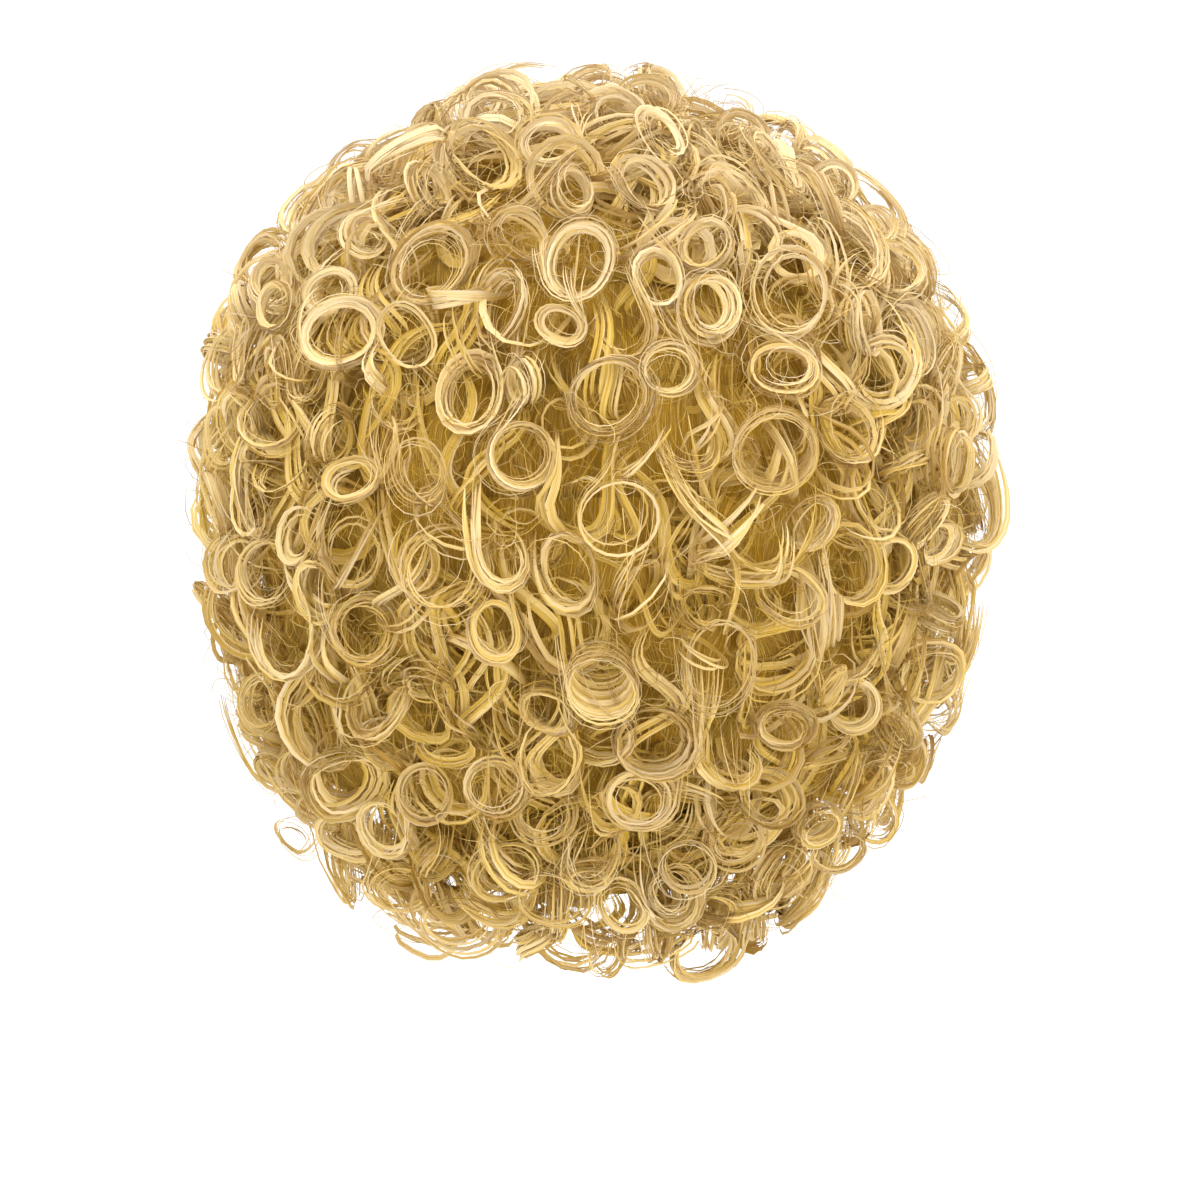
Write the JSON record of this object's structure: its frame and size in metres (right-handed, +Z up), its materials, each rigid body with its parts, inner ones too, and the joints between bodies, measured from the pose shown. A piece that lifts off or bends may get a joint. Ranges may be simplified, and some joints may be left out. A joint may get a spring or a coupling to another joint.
{
  "type": "short curly wig",
  "caption": "Short blond curly wig: a hollow net cap covered by overlapping rows of ringlet curls from crown to nape, open at the face, worn on a head.",
  "frame": {"origin": "where the crown of the head meets the inside of the cap", "axes": "+Z up, -Y out of the face opening, +Y to the back of the head, +X to the wearer's left"},
  "size_m": [0.261, 0.2749, 0.2912],
  "materials": {
    "hair": "golden blond synthetic fibre, satin sheen",
    "net": "beige cap net, matte"
  },
  "bodies": {
    "root": {"cap": "net", "crown_swirl": "hair", "weft_crown": "hair", "weft_top": "hair", "weft_temple": "hair", "weft_fringe": "hair", "weft_ear": "hair", "weft_cheek": "hair", "weft_neck": "hair", "weft_nape": "hair"}
  },
  "joints": []
}
